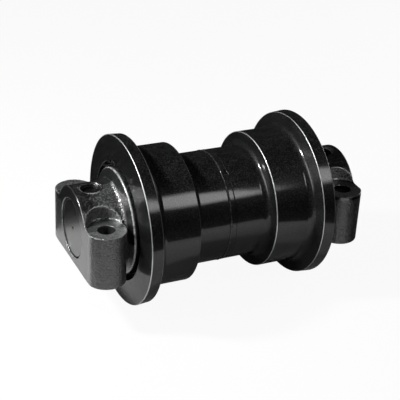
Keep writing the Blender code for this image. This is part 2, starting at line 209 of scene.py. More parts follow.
gloss = add(tree, "MapRange", {"Value": patches, **NOISE_MIDDLE, "To Min": 0.42, "To Max": 0.56})
ring_shape = {"Scale": wave_scale(TOOL_MARKS_MM), "Distortion": 0.6, "Detail": 1.0}
rings = add(tree, "TexWave", {"Vector": place, **ring_shape}, bands_direction="X").outputs["Fac"]
peel = add(tree, "TexNoise", {"Vector": place, "Scale": per_metre(PAINT_PEEL_MM), "Detail": 2.0})
ring_relief = {"Strength": 0.05, "Distance": TOOL_MARK_HEIGHT_MM * MM, "Height": rings}
lines = add(tree, "Bump", ring_relief)
peel_relief = {"Strength": 0.15, "Distance": PAINT_PEEL_HEIGHT_MM * MM, "Height": peel}
skin = add(tree, "Bump", {**peel_relief, "Normal": lines})
connect(tree, shader, {"Roughness": gloss, "Normal": skin, "Coat Normal": skin})
print("relief of", enamel.name, "with rings", TOOL_MARKS_MM, "mm apart")

# %% [markdown]
# ## Thin black paint on cast steel
# The collars are cast in sand, so their skin is grainy, and one thin coat of satin paint doesn't
# fill the grain. The eye sees dark grey with a soft sheen, lighter where the paint lies thin on a
# lump. The mesh stores four shares for each point: machined, where a cutter took the grain off; thick
# black paint, darker and smoother, which is mostly painted shade; rubbed edges, bright as worn metal
# and as a painted highlight; and the grey of the near bolt seat, which is painted light.

# %% Paint of the collars
SAND_LUMP_MM = 6.0
# Moulding sand is about 0.4 mm. Its grain is drawn this coarse so that the render shows it.
SAND_GRAIN_MM = 2.0

casting, tree, shader, coords = new_finish(
    "thin_black_paint_on_cast_steel",
    IOR=1.5,
    Specular_IOR_Level=0.8,
    Coat_Weight=1.0,
    Coat_Roughness=0.3,
    Coat_IOR=1.6,
)
place = coords["Object"]
# Of these shares the thick black is mostly painted shade, the rubbed edges are partly a painted
# highlight, and the seat's grey is painted light.
machined, rubbed, pooled, seat = (
    add(tree, "Attribute", attribute_name=share).outputs["Fac"]
    for share in ("machined", "rubbed", "pooled", "seat")
)
grain_size = {"Scale": per_metre(SAND_GRAIN_MM), "Detail": 1.5, "Roughness": 0.6}
grain = add(tree, "TexNoise", {"Vector": place, **grain_size})
lumps = add(tree, "TexNoise", {"Vector": place, "Scale": per_metre(SAND_LUMP_MM), "Detail": 3.0})
# The thick black stands for painted shade on the collars, and for a painted dark reflection on the
# hub's crest.
covered, thin, thick = linear("1A1B1B"), linear("383939"), linear("0B0C0C")
coat = add(tree, "Mix", {"Factor": lumps, "A": covered, "B": thin}, data_type="RGBA")
paint = add(tree, "Mix", {"Factor": pooled, "A": coat, "B": thick}, data_type="RGBA")
print("paint of", casting.name, "over grain of", SAND_GRAIN_MM, "mm")

# %% [markdown]
# ## Wear and relief of the castings
# Hands and crates rub the peaks of the grain bright, most of all on what faces up, and the edges
# too, which partly stand for a painted highlight. Where the casting was machined or thick black is
# painted as shade, little grain is left to rub. The same noise drives the bright specks and the
# bumps, so each speck sits on a peak.

# %% Wear and relief of the collars
# The grain is drawn higher than real too, because it is drawn coarser.
GRAIN_HEIGHT_MM = 1.0
LUMP_HEIGHT_MM = 0.7

smooth = add(tree, "Math", {0: machined, 1: pooled}, operation="MAXIMUM")
cast_only = add(tree, "MapRange", {"Value": smooth, "To Min": 1.0, "To Max": 0.15})
peaks = add(tree, "MapRange", {"Value": grain, "From Min": 0.50, "From Max": 0.64})
upward = add(tree, "SeparateXYZ", {0: coords["Normal"]}).outputs["Z"]
handled = add(tree, "MapRange", {"Value": upward, "From Min": 0.1, "From Max": 0.6, "To Min": 0.1})
exposed = add(tree, "Math", {0: handled, 1: cast_only}, operation="MULTIPLY")
worn_grain = add(tree, "Math", {0: peaks, 1: exposed}, operation="MULTIPLY")
speckle = add(tree, "MapRange", {"Value": grain, "From Min": 0.3, "From Max": 0.55, "To Max": 0.9})
worn_edge = add(tree, "Math", {0: speckle, 1: rubbed}, operation="MULTIPLY")
# The layers lie on the paint in this order: the grey of the near seat, which is painted light, the pale
# edges, worn and partly a painted highlight, and the worn grain.
colour = paint
for share, bare in ((seat, "383A39"), (worn_edge, "C2C4C3"), (worn_grain, "B0B2B1")):
    colour = add(tree, "Mix", {"Factor": share, "A": colour, "B": linear(bare)}, data_type="RGBA")
gloss = add(tree, "MapRange", {"Value": smooth, "To Min": 0.36, "To Max": 0.24})
grain_relief = {"Strength": cast_only, "Distance": GRAIN_HEIGHT_MM * MM, "Height": grain}
skin = add(tree, "Bump", grain_relief)
lump_relief = {"Strength": cast_only, "Distance": LUMP_HEIGHT_MM * MM, "Height": lumps}
swell = add(tree, "Bump", {**lump_relief, "Normal": skin})
connect(tree, shader, {"Base Color": colour, "Metallic": worn_grain, "Roughness": gloss})
connect(tree, shader, {"Normal": swell, "Coat Normal": swell})
print("wear of", casting.name, "in", len(tree.nodes), "nodes")

# %% [markdown]
# ## Oiled steel, bronze, seal iron and rubber
# The pins, the snap rings and the plug are dark oiled steel, which looks like grey metal under a
# film. The pieces inside are never seen in the picture, but a part that comes apart should show warm
# bronze, bright lapped iron and dull rubber. They differ only in colour, gloss and scale, so one
# function makes them all.

# %% Finishes of the plain pieces
# The roughest blotch is this much rougher than the smoothest.
ROUGHNESS_SPREAD = 1.5


def plain_finish(name, colour, spread, roughness, metallic, blotch_mm, relief_mm):
    """A finish of one colour that drifts a little, with an uneven gloss and a fine relief."""
    material, tree, shader, coords = new_finish(name, Metallic=metallic)
    blotch_size = {"Scale": per_metre(blotch_mm), "Detail": 6.0, "Roughness": 0.65}
    drift = add(tree, "TexNoise", {"Vector": coords["Object"], **blotch_size})
    tints = {"A": linear(colour), "B": linear(spread)}
    tint = add(tree, "Mix", {"Factor": drift, **tints}, data_type="RGBA")
    limits = {**NOISE_MIDDLE, "To Min": roughness, "To Max": roughness * ROUGHNESS_SPREAD}
    gloss = add(tree, "MapRange", {"Value": drift, **limits})
    relief = add(tree, "Bump", {"Strength": 0.5, "Distance": relief_mm * MM, "Height": drift})
    connect(tree, shader, {"Base Color": tint, "Roughness": gloss, "Normal": relief})
    return material


bronze = plain_finish("turned_bronze", "B98B4E", "9A6E38", 0.30, 1.0, 3, 0.02)
seal_iron = plain_finish("lapped_seal_iron", "8C8E90", "747678", 0.18, 1.0, 2, 0.01)
rubber = plain_finish("moulded_black_rubber", "131313", "1D1D1C", 0.55, 0.0, 2, 0.05)
oiled_steel = plain_finish("dark_oiled_steel", "5A5B5C", "3C3D3E", 0.32, 1.0, 2, 0.02)
print("plain finishes:", [finish.name for finish in (bronze, seal_iron, rubber, oiled_steel)])

# %% [markdown]
# ## Faced steel of the shaft ends
# The shaft ends are faced on the lathe and stained, so the eye sees grey metal with faint rings
# around the centre. The small hole that the lathe's centre left is filled with dark grease. Rings
# need the distance from the axis alone, so the coordinate along the shaft is dropped.

# %% Finish of the shaft
# Real facing rings are about 0.3 mm apart. They are drawn this coarse so that the render shows them.
FACING_RINGS_MM = 5.03
FACING_HEIGHT_MM = 0.03
STAIN_MM = 1.4
GREASE_RADIUS_MM = 2.2
GREASE_EDGE_MM = 2.5

faced_steel, tree, shader, coords = new_finish("faced_shaft_steel", Metallic=1.0, Roughness=0.27)
axes = add(tree, "SeparateXYZ", {0: coords["Object"]}).outputs
across = add(tree, "CombineXYZ", {"Y": axes["Y"], "Z": axes["Z"]})
ring_shape = {"Scale": wave_scale(FACING_RINGS_MM), "Distortion": 0.8, "Detail": 2.0}
ring_kind = {"wave_type": "RINGS", "rings_direction": "X"}
rings = add(tree, "TexWave", {"Vector": across, **ring_shape}, **ring_kind).outputs["Fac"]
relief = add(tree, "Bump", {"Strength": 0.2, "Distance": FACING_HEIGHT_MM * MM, "Height": rings})
stain_size = {"Scale": per_metre(STAIN_MM), "Detail": 5.0, "Roughness": 0.7}
stains = add(tree, "TexNoise", {"Vector": coords["Object"], **stain_size})
stained, clean, dark = linear("4A4B4A"), linear("B4B5B3"), linear("0A0A0A")
tint = add(tree, "Mix", {"Factor": stains, "A": stained, "B": clean}, data_type="RGBA")
from_axis = add(tree, "VectorMath", {0: across}, operation="LENGTH")
grease_edge = {"From Min": GREASE_RADIUS_MM * MM, "From Max": GREASE_EDGE_MM * MM}
grease = add(tree, "MapRange", {"Value": from_axis, **grease_edge, "To Min": 1.0, "To Max": 0.0})
filled = add(tree, "Mix", {"Factor": grease, "A": tint, "B": dark}, data_type="RGBA")
connect(tree, shader, {"Base Color": filled, "Normal": relief})
print("finish", faced_steel.name, "with grease to", GREASE_RADIUS_MM, "mm")

# %% [markdown]
# ## Dressing the pieces that keep their CAD shape
# A node whose shape is right stays and only gets its finish. It could be named piece by piece, but
# the record already names a material slot for each node, so the finishes are handed out by slot. The
# lock pins are of the shaft's steel and are oiled in their holes.

# %% Finishes by slot
FINISH_OF_SLOT = {
    "painted_forging": enamel,
    "painted_casting": casting,
    "painted_weld": enamel,
    "bronze_lining": bronze,
    "seal_iron": seal_iron,
    "nitrile_rubber": rubber,
    "ground_steel": faced_steel,
    "spring_steel": oiled_steel,
}
for row in frame["record"]["subparts"]:
    mesh = frame["nodes"][row["node"]].data
    mesh.materials.clear()
    oiled = row["node"].startswith("lock_pin")
    mesh.materials.append(oiled_steel if oiled else FINISH_OF_SLOT[row["material_slot"]])

# %% [markdown]
# ## Turning on a lathe
# A turned piece is a profile swept around the shaft. The profile is a list of corners, each with
# its own round, and the rounds become short arcs. A support point just outside each arc keeps the
# shading of the flats flat. Sweeping the profile in code gives a mesh of clean quads and tells which
# points lie on a worn edge. Bmesh's spin would do the sweep as well, but then those points would have
# to be searched for afterwards.

# %% Lathe
LATHE_SEGMENTS = 192
ARC_STEPS = 7
SUPPORT = 1.04
# An arc may take up this share of the side next to it.
LONGEST_ARC = 0.48


def rounded_profile(corners, edge_wear):
    """Points and their wear from corners of (along, radius, round, edge), all lengths in mm."""
    points, wear = [], []
    for index, (along, radius, bend, edge) in enumerate(corners):
        corner = Vector((along, radius))
        if not bend:
            points.append(corner)
            wear.append(0.0)
            continue
        before = Vector(corners[index - 1][:2]) - corner
        after = Vector(corners[(index + 1) % len(corners)][:2]) - corner
        half = before.angle(after) / 2
        reach = min(bend / math.tan(half), before.length * LONGEST_ARC, after.length * LONGEST_ARC)
        start, end = before.normalized() * reach, after.normalized() * reach
        middle = (start + end).normalized() * (reach / math.cos(half))
        points.append(corner + start * SUPPORT)
        wear.append(0.0)
        for step in range(ARC_STEPS + 1):
            spoke = (start - middle).slerp(end - middle, step / ARC_STEPS)
            points.append(corner + middle + spoke * reach * math.tan(half))
            wear.append(edge_wear.get(edge, 0.0) * (0 < step < ARC_STEPS))
        points.append(corner + end * SUPPORT)
        wear.append(0.0)
    return np.array(points), np.array(wear)


def lathe_points(along, radius):
    """Points around the shaft, one ring of them for each row of radius."""
    turns = np.arange(len(radius))[:, None] * math.tau / len(radius)
    along = np.broadcast_to(along, radius.shape)
    return np.stack([along, -radius * np.cos(turns), radius * np.sin(turns)], -1).reshape(-1, 3)


def ring_quads(rings, count):
    """Quads between closed rings of points, where ring after ring goes round the shaft."""
    here = np.arange(rings)[:, None] * count + np.arange(count)
    ahead = np.roll(here, -1, axis=0)
    return np.stack([here, np.roll(here, -1, 1), np.roll(ahead, -1, 1), ahead], -1).reshape(-1, 4)


print("lathe with", LATHE_SEGMENTS, "segments and", ARC_STEPS, "steps in a round")

# %% [markdown]
# ## Meshes in the scene
# Every piece is made the same way: points in millimetres, faces, a finish, smooth shading with sharp
# corners kept, and any values that its finish reads from the points.

# %% New piece
def new_piece(name, points_mm, faces, finish, sharp_degrees=35, **values):
    """A smooth mesh object in the scene, with sharp corners kept and named values for its points."""
    mesh = bpy.data.meshes.new(name)
    mesh.from_pydata((np.asarray(points_mm) * MM).tolist(), [], np.asarray(faces).tolist())
    for attribute, value in values.items():
        layer = mesh.attributes.new(attribute, "FLOAT", "POINT")
        layer.data.foreach_set("value", np.asarray(value, np.float32))
    mesh.materials.append(finish)
    mesh.shade_smooth()
    mesh.set_sharp_from_angle(angle=math.radians(sharp_degrees))
    piece = bpy.data.objects.new(name, mesh)
    bpy.context.scene.collection.objects.link(piece)
    return piece


print("ready for the first piece, with", len(bpy.data.materials), "materials")

# %% [markdown]
# ## The shell halves
# Each half has a neck, a tread that the track links run on, and a flange that keeps them on it. The
# neck meets the tread's shoulder, and the tread meets the flange, in a fillet that catches the
# light. Inside are the mouth for the collar's disc, the seal housing and the bore. The sizes are
# those of the CAD model, in millimetres, and the fillets and rounds are added here.

# %% Sizes of the shell
SHELL_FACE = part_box("shell_half_right")[1].x / MM
NECK_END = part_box("shell_half_right")[0].x / MM
FLANGE_RADIUS = 94.0
FLANGE_RIM_WIDTH = 13.5
FLANGE_FACE_RISE = 2.6
FLANGE_FLANK_LEAN = 5.5
RIM_TAPER = 1.1
TREAD_RADIUS = 76.9
TREAD_INNER = 45.1
SHOULDER_LEAN = 1.6
NECK_RADIUS = 62.05
SHOULDER_FILLET = 9.0
FLANGE_FILLET = 7.5
EDGE_ROUND = 0.9
INNER_ROUND = 0.3
WELD_HALF = 4.0
WELD_DEPTH = 2.4
MOUTH_RADIUS = 65.8
MOUTH_FLOOR = 99.0
SEAL_HOUSING_RADIUS = 53.7
SEAL_HOUSING_ROUND = 0.5
BUSHING_SEAT = 85.8
BUSHING_BORE = 39.1
BORE_END = 36.1
OIL_SPACE = 37.1

rim_outer = SHELL_FACE - FLANGE_FACE_RISE
rim_inner = rim_outer - FLANGE_RIM_WIDTH
shell_corners = [
    (NECK_END, NECK_RADIUS - WELD_DEPTH, 0, None),
    (WELD_HALF, NECK_RADIUS - WELD_DEPTH, 0, None),
    (WELD_HALF, NECK_RADIUS, INNER_ROUND, None),
    (TREAD_INNER - SHOULDER_LEAN, NECK_RADIUS, SHOULDER_FILLET, None),
    (TREAD_INNER, TREAD_RADIUS, EDGE_ROUND, "tread"),
    (rim_inner - FLANGE_FLANK_LEAN, TREAD_RADIUS, FLANGE_FILLET, None),
    (rim_inner, FLANGE_RADIUS - RIM_TAPER, EDGE_ROUND, "rim_inner"),
    (rim_outer, FLANGE_RADIUS, EDGE_ROUND, "rim_outer"),
    (SHELL_FACE, MOUTH_RADIUS, EDGE_ROUND, None),
    (MOUTH_FLOOR, MOUTH_RADIUS, INNER_ROUND, None),
    (MOUTH_FLOOR, SEAL_HOUSING_RADIUS, INNER_ROUND, None),
    (BUSHING_SEAT, SEAL_HOUSING_RADIUS, SEAL_HOUSING_ROUND, None),
    (BUSHING_SEAT, BUSHING_BORE, INNER_ROUND, None),
    (BORE_END, BUSHING_BORE, 0, None),
    (BORE_END, OIL_SPACE, 0, None),
    (NECK_END, OIL_SPACE, 0, None),
]
print("shell profile with", len(shell_corners), "corners, rim ends at", round(rim_outer, 1), "mm")

# %% [markdown]
# ## Two halves from one profile
# Real halves are turned to the same drawing, so one profile serves both, and the left one is turned
# by half a turn about the upright axis. Only the bright steel on the edges differs. It is worn paint,
# and also a painted highlight: full on the edges that face the lamp on the left, faint on the others.

# %% Shell halves
SIDES = {"right": np.array([1, 1, 1]), "left": np.array([-1, -1, 1])}
# Bright steel on each named edge, as worn paint, and as a painted highlight on the edges that face the
# lamp.
EDGE_WEAR = {
    "right": {"tread": 1.0, "rim_inner": 1.0, "rim_outer": 0.35},
    "left": {"tread": 0.1, "rim_inner": 0.35, "rim_outer": 1.0},
}
for side, turn in SIDES.items():
    shell_profile, shell_wear = rounded_profile(shell_corners, EDGE_WEAR[side])
    shell_along, shell_radius = shell_profile.T
    shell_points = lathe_points(shell_along, np.tile(shell_radius, (LATHE_SEGMENTS, 1))) * turn
    shell_faces = ring_quads(LATHE_SEGMENTS, len(shell_profile))
    shell_worn = np.tile(shell_wear, LATHE_SEGMENTS)
    half = new_piece(f"shell_turned_{side}", shell_points, shell_faces, enamel, worn=shell_worn)
    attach(half, "roller")
    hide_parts(f"shell_half_{side}")
    print(half.name, len(half.data.polygons), "faces")

# %% [markdown]
# ## The weld
# The halves are joined by a weld around the neck. It was dressed on one side only: the right side is
# a low flat band, and the left side keeps the rough bead with its ripples. The profile is swept as
# before, but the height and the place of the bead change from ring to ring, as sums of a few waves
# that go evenly round the neck. Noise would do as well, but waves close without a seam.

# %% Weld seam
BAND_CROWN = 0.15
BEAD_PLACE = -3.0
BEAD_WIDTH = 1.1
BEAD_HEIGHT = 0.45
BEAD_MEAN = 0.6
BEAD_CHANGE = 0.5
BEAD_BARE = 0.12
WELD_STEPS = 41
WELD_GAP = 0.3
WELD_EDGE_FADE = 6
WELD_SEGMENTS = 720
# Waves around the neck, each with its count and its share, and for the wander with its start too.
RIPPLES = ((61, 0.40), (97, 0.35), (151, 0.30), (23, 0.25), (7, 0.20))
WANDERS = ((5, 0.30, 0.4), (17, 0.25, 0.0), (43, 0.20, 0.0))

turns = np.arange(WELD_SEGMENTS)[:, None] * math.tau / WELD_SEGMENTS
ripple = sum(share * np.sin(count * turns + count) for count, share in RIPPLES)
wander = sum(share * np.sin(count * turns + start) for count, share, start in WANDERS)
weld_edge = WELD_HALF - WELD_GAP
across = np.linspace(-weld_edge, weld_edge, WELD_STEPS)
fade = np.clip((1 - np.abs(across / weld_edge)) * WELD_EDGE_FADE, 0, 1)
from_bead = (across - BEAD_PLACE - wander) / BEAD_WIDTH
bead = np.exp(-2 * from_bead**2) * (BEAD_MEAN + BEAD_CHANGE * ripple)
height = NECK_RADIUS + fade * (BAND_CROWN + bead * BEAD_HEIGHT)
root = np.full((WELD_SEGMENTS, 1), NECK_RADIUS - WELD_DEPTH + WELD_GAP)
weld_radius = np.concatenate([root, height, root], axis=1)
weld_along = np.concatenate([[-weld_edge], across, [weld_edge]])
weld_wear = np.zeros_like(weld_radius)
weld_wear[:, 1:-1] = np.clip(bead * fade, 0, 1) * BEAD_BARE
weld_points = lathe_points(weld_along, weld_radius)
weld_faces = ring_quads(WELD_SEGMENTS, len(weld_along))
weld = new_piece("weld_bead", weld_points, weld_faces, enamel, worn=weld_wear.ravel())
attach(weld, "roller")
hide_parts("weld_seam")
print(weld.name, len(weld.data.polygons), "faces")

# %% [markdown]
# ## A casting as a distance field
# A casting has a soft round wherever two of its shapes meet, and crisp edges only where a cutter
# went over it. Booleans and bevels on a dense mesh make such rounds badly. A distance field makes
# them well: each simple solid is a formula that gives the distance to its surface, negative inside,
# and two formulas can be joined or cut with a round of any radius. The mesh is then the surface
# where the distance is zero.

# %% Joining and cutting distance fields
def join(a, b, bend):
    """Both solids, with a fillet of this radius between them."""
    corner = np.hypot(np.maximum(bend - a, 0), np.maximum(bend - b, 0))
    return np.maximum(bend, np.minimum(a, b)) - corner


def keep_both(a, b, bend):
    """What the two solids share, with its edge rounded to this radius."""
    corner = np.hypot(np.maximum(bend + a, 0), np.maximum(bend + b, 0))
    return np.minimum(-bend, np.maximum(a, b)) + corner


def cut(a, b, bend):
    """The first solid without the second, with the cut's edge rounded to this radius."""
    return keep_both(a, -b, bend)


def rod(distance_from_axis, along, radius, low, high, bend=0.0):
    """A round bar about an axis, from low to high along it."""
    ends = np.maximum(low - along, along - high)
    return keep_both(distance_from_axis - radius, ends, bend)


inside_fillet = -join(np.array(1.0), np.array(1.0), 4.0).item()
print("a point 1 mm from two walls is", round(inside_fillet, 2), "mm inside their fillet of 4 mm")

# %% [markdown]
# ## The collar
# The casting is a hub, a disc that covers the mouth of the shell, and two bolt bosses on a slab. The
# cutters then face its outer end and its base, bore it for the shaft, and sink a seat with room for
# a socket into each boss. A lock pin goes in from the top of the hub through a spot-faced hole. The
# sizes are those of the right collar, in millimetres.

# %% Sizes of the collar
COLLAR_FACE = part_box("collar_right")[1].x / MM
HUB_RADIUS = 46.1
HUB_FILLET = 3.0
DISC_RADIUS = 59.0
DISC_BACK = 101.0
DISC_FACE = 112.8
DISC_FLARE = 5.2
DISC_EDGE_ROUND = 1.6
NOSE_END = 92.0
NOSE_RADIUS = 42.5
HOUSING_FLOOR = 109.7
BASE_LEVEL = -39.4
BASE_START = 115.4
BOLT_X = 141.3
BOLT_Y = 50.0
BOSS_RADIUS = 21.4
BOSS_EDGE_ROUND = 1.0
BOSS_RIM_RISE = 0.4
SLAB_START = 121.4
SLAB_FILLET = 0.5
CAST_ROUND = 3.5
SEAT_LEVEL = 20.4
SEAT_RADIUS = 20.4
SOCKET_LEVEL = 21.3
SOCKET_RADIUS = 21.8
SOCKET_FILLET = 3.0
BOLT_HOLE_RADIUS = 9.5
BORE_RADIUS = 32.8
PIN_SPOT_RADIUS = 12.4
PIN_SPOT_LEVEL = 44.2
PIN_HOLE_RADIUS = 10.55
PIN_RIM_ROUND = 1.0
CUT_ROUND = 0.6
FACE_ROUND = 1.6
SOCKET_ROUND = 1.3
# Farther out than any part of the collar.
FAR = 200.0
print("collar from", NOSE_END, "to", round(COLLAR_FACE, 1), "mm along the shaft")

# %% [markdown]
# ## Casting and cutting the collar
# The collar is made in the order of the foundry and the workshop: first the casting with its wide
# rounds, then each cutter in turn, which leaves a small round on its edge. With soft at zero all
# rounds are gone, and the difference between the two shapes shows later where the edges are.

# %% Collar's shape
def cast_body(x, y, z, soft=1.0):
    """The collar as it comes out of the sand, too long at its outer end. Soft scales its rounds."""
    from_axis = np.hypot(y, z)
    to_boss = np.hypot(x - BOLT_X, np.abs(y) - BOLT_Y)
    hub = rod(from_axis, x, HUB_RADIUS, DISC_BACK, FAR)
    flare = (x - DISC_FACE) * (DISC_RADIUS - HUB_RADIUS) + (from_axis - DISC_RADIUS) * DISC_FLARE
    front = flare / math.hypot(DISC_RADIUS - HUB_RADIUS, DISC_FLARE)
    disc = keep_both(rod(from_axis, x, DISC_RADIUS, DISC_BACK, FAR), front, DISC_EDGE_ROUND * soft)
    nose = rod(from_axis, x, NOSE_RADIUS, NOSE_END, DISC_FACE)
    boss = rod(to_boss, z, BOSS_RADIUS, -FAR, SEAT_LEVEL + BOSS_RIM_RISE, BOSS_EDGE_ROUND * soft)
    slab_sides = np.maximum(SLAB_START - x, np.abs(y) - BOLT_Y)
    slab = np.maximum(slab_sides, z - SEAT_LEVEL - BOSS_RIM_RISE)
    ears = join(boss, slab, SLAB_FILLET * soft)
    body = join(join(hub, disc, HUB_FILLET * soft), ears, CAST_ROUND * soft)
    pocket = rod(to_boss, z, SOCKET_RADIUS, SOCKET_LEVEL, FAR, SOCKET_FILLET * soft)
    return cut(np.minimum(body, nose), pocket, SOCKET_ROUND * soft)


def collar_field(x, y, z, soft=1.0):
    """The finished collar: the casting, faced, cut to its base, bored and drilled."""
    from_axis = np.hypot(y, z)
    to_bolt = np.hypot(x - BOLT_X, np.abs(y) - BOLT_Y)
    to_pin = np.hypot(x - BOLT_X, y)
    below = np.maximum(z - BASE_LEVEL, BASE_START - x)
    groove_middle = (NOSE_RADIUS + SEAL_HOUSING_RADIUS) / 2
    groove_half = (SEAL_HOUSING_RADIUS - NOSE_RADIUS) / 2
    groove = np.maximum(np.abs(from_axis - groove_middle) - groove_half, x - HOUSING_FLOOR)
    body = keep_both(cast_body(x, y, z, soft), x - COLLAR_FACE, FACE_ROUND * soft)
    body = cut(body, rod(to_pin, z, PIN_SPOT_RADIUS, PIN_SPOT_LEVEL, FAR), PIN_RIM_ROUND * soft)
    cutters = (
        below,
        rod(to_bolt, z, SEAT_RADIUS, SEAT_LEVEL, FAR),
        to_bolt - BOLT_HOLE_RADIUS,
        rod(to_pin, z, PIN_HOLE_RADIUS, 0, FAR),
        groove,
        from_axis - BORE_RADIUS,
    )
    for cutter in cutters:
        body = cut(body, cutter, CUT_ROUND * soft)
    return body


bore_gap = float(collar_field(BOLT_X, 0.0, 0.0))
print("the middle of the collar's bore is", round(bore_gap, 1), "mm from metal")

# %% [markdown]
# ## From field to mesh
# The field is sampled on a grid. Every grid cell that the surface passes gets one point, and every
# grid edge that the surface crosses gets a quad between the four cells around it. The points are
# then pulled onto the surface along the field's slope, and that slope is also the exact normal, so
# the shading is as smooth as the formulas. A remesh modifier works alike, but it needs a mesh first.

# %% Mesh of a field
CELL = 0.95
PULL_STEPS = 5
SLOPE_STEP = 0.04
# A field is flat at a few inner corners, and a step there would be endless without this limit.
LEAST_SLOPE_SQUARED = 0.25


def slope(field, points):
    """The field's gradient at each point, by small steps to both sides."""
    parts = []
    for axis in np.eye(3) * SLOPE_STEP:
        parts.append((field(*(points + axis).T) - field(*(points - axis).T)) / (2 * SLOPE_STEP))
    return np.stack(parts, -1)


def surface_cells(inside):
    """The cells that have some of their eight corners inside and some outside."""
    count = np.zeros([n - 1 for n in inside.shape], int)
    for i, j, k in np.ndindex(2, 2, 2):
        count += inside[i : i + count.shape[0], j : j + count.shape[1], k : k + count.shape[2]]
    return (count > 0) & (count < 8)


def field_mesh(field, low, high):
    """Points, quads and normals of the surface where the field is zero, inside a box."""
    lines = [np.arange(a, b + CELL, CELL) for a, b in zip(low, high)]
    inside = field(*np.meshgrid(*lines, indexing="ij")) < 0
    passed = surface_cells(inside)
    cells = np.argwhere(passed)
    number = np.full(passed.shape, -1)
    number[tuple(cells.T)] = np.arange(len(cells))
    points = low + (cells + 0.5) * CELL
    for _ in range(PULL_STEPS):
        normal = slope(field, points)
        step = field(*points.T) / np.maximum((normal**2).sum(-1), LEAST_SLOPE_SQUARED)
        points = points - np.clip(step, -CELL, CELL)[:, None] * normal
    quads = []
    for axis in range(3):
        here = np.moveaxis(inside, axis, 0)
        cell = np.moveaxis(number, axis, 0)
        leaves = here[:-1, 1:-1, 1:-1] & ~here[1:, 1:-1, 1:-1]
        enters = ~here[:-1, 1:-1, 1:-1] & here[1:, 1:-1, 1:-1]
        corners = [cell[:, :-1, :-1], cell[:, 1:, :-1], cell[:, 1:, 1:], cell[:, :-1, 1:]]
        around = np.stack(corners, -1)
        turned = axis == 1
        quads.append(around[leaves][:, ::-1] if turned else around[leaves])
        quads.append(around[enters] if turned else around[enters][:, ::-1])
    normal = slope(field, points)
    return points, np.concatenate(quads), normal / np.linalg.norm(normal, axis=-1, keepdims=True)


print("fields become meshes with cells of", CELL, "mm")

# %% Mesh of the collar
GRID_MARGIN = 2

low = np.array([NOSE_END, -BOLT_Y - BOSS_RADIUS, -DISC_RADIUS]) - GRID_MARGIN
high = np.array([COLLAR_FACE, BOLT_Y + BOSS_RADIUS, DISC_RADIUS]) + GRID_MARGIN
collar_points, collar_faces, collar_normals = field_mesh(collar_field, low, high)
print("collar mesh of", len(collar_points), "points and", len(collar_faces), "quads")

# %% [markdown]
# ## Where the casting is machined and where shade is painted
# These shares could be painted on the mesh by hand, but they follow from the shape. A point that lies
# deeper than the casting's own skin was cut. Thick black is painted shade on the rim of the disc, in
# the dark gap of the mouth, and a painted dark reflection on the crest of the hub toward its outer
# end. The plate between the disc and the hub is darker and smoother too.

# %% Machined and pooled places
MACHINED_DEPTH = 0.2
MACHINED_FADE = 0.3
SEAT_REACH = 0.2
RIM_WIDTH = 1.0
PLATE_POOLED = 0.9
CREST_START = 136.0
CREST_LOW = 22.0
CREST_FADE = 14.0

x, y, z = collar_points.T
from_axis = np.hypot(y, z)
machined = np.clip((-cast_body(x, y, z) - MACHINED_DEPTH) / MACHINED_FADE, 0, 1)
# The machined seat faces; the grey that the near seat gets is painted light.
seat = machined * (np.abs(z - SEAT_LEVEL) < SEAT_REACH)
# Painted shade on the disc's rim, a darker plate, and a painted dark reflection on the hub's crest.
rim = np.clip(from_axis - DISC_RADIUS + RIM_WIDTH, 0, 1) * (x < DISC_FACE)
on_plate = (x < BASE_START + DISC_FLARE) & (z > 0)
plate = np.clip(from_axis - HUB_RADIUS - HUB_FILLET, 0, PLATE_POOLED) * on_plate
crest_along = np.clip((x - CREST_START) / CREST_FADE, 0, 1)
crest = crest_along * np.clip((z - CREST_LOW) / CREST_FADE, 0, 1)
pooled = np.maximum(np.maximum(rim, plate), crest)
print("machined", round(100 * machined.mean()), "% and pooled", round(100 * pooled.mean()), "% of it")

# %% [markdown]
# ## Where its edges are rubbed and lit
# An edge is where the rounded shape lies inside the one without rounds. It is bright there, as worn
# metal and as a painted highlight, except on the crest, where the black is painted, and less on the
# lips and sides of the bosses. The rim of the pin hole has a painted highlight on its outer side,
# toward one boss, and painted shade in thick black elsewhere.

# %% Rubbed edges
RUB_DEPTH = 0.12
LIP_REACH = 1.5
LIP_WORN = 0.5
SIDE_WORN = 0.15
PIN_SURROUND = 1.5
PIN_SPOT_MARGIN = 0.8

rubbed = np.clip(-collar_field(x, y, z, 0.0) / RUB_DEPTH, 0, 1) * (1 - crest)
boss_lip = (np.abs(z - SEAT_LEVEL) < LIP_REACH) & (np.abs(y) > BORE_RADIUS)
boss_side = (x > BOLT_X) & (np.abs(y) > BORE_RADIUS) & (z < SEAT_LEVEL - LIP_REACH)
rubbed = rubbed * np.where(boss_lip, LIP_WORN, 1.0) * np.where(boss_side, SIDE_WORN, 1.0)
to_pin = np.hypot(x - BOLT_X, y)
around_pin = (to_pin < PIN_SPOT_RADIUS + PIN_SURROUND) & (z > 0)
pin_spot = (to_pin < PIN_SPOT_RADIUS + PIN_SPOT_MARGIN) & (z > PIN_SPOT_LEVEL - PIN_SPOT_MARGIN)
# A painted highlight on the outer side of the pin's rim, toward one boss, and painted shade on the
# rest.
pin_worn = np.clip((x - BOLT_X + y) / PIN_HOLE_RADIUS, 0, 1)
rubbed = np.where(around_pin, np.maximum(rubbed, pin_spot) * pin_worn, rubbed)
pooled = np.maximum(pooled, around_pin * (1 - pin_worn))
print("rubbed", round(100 * rubbed.mean(), 1), "% of the points")

# %% [markdown]
# ## The two collars
# Both are the same casting, and the left one is turned by half a turn. Their painted light differs.
# The right one lies in the flange's shadow, so thick black is painted as shade on all its upper side,
# with a painted highlight on its pocket walls, which the left one has faintly. The left one has
# painted shade on its far half only, and grey painted light on its near seat. The normals are the
# field's.

# %% Collars
# Painted shade above this height, and a painted highlight on the pocket walls, strong on the right.
THICK_ABOVE = 15.0
POCKET_MARGIN = 0.5
POCKET_BARE = {"right": 0.8, "left": 0.2}
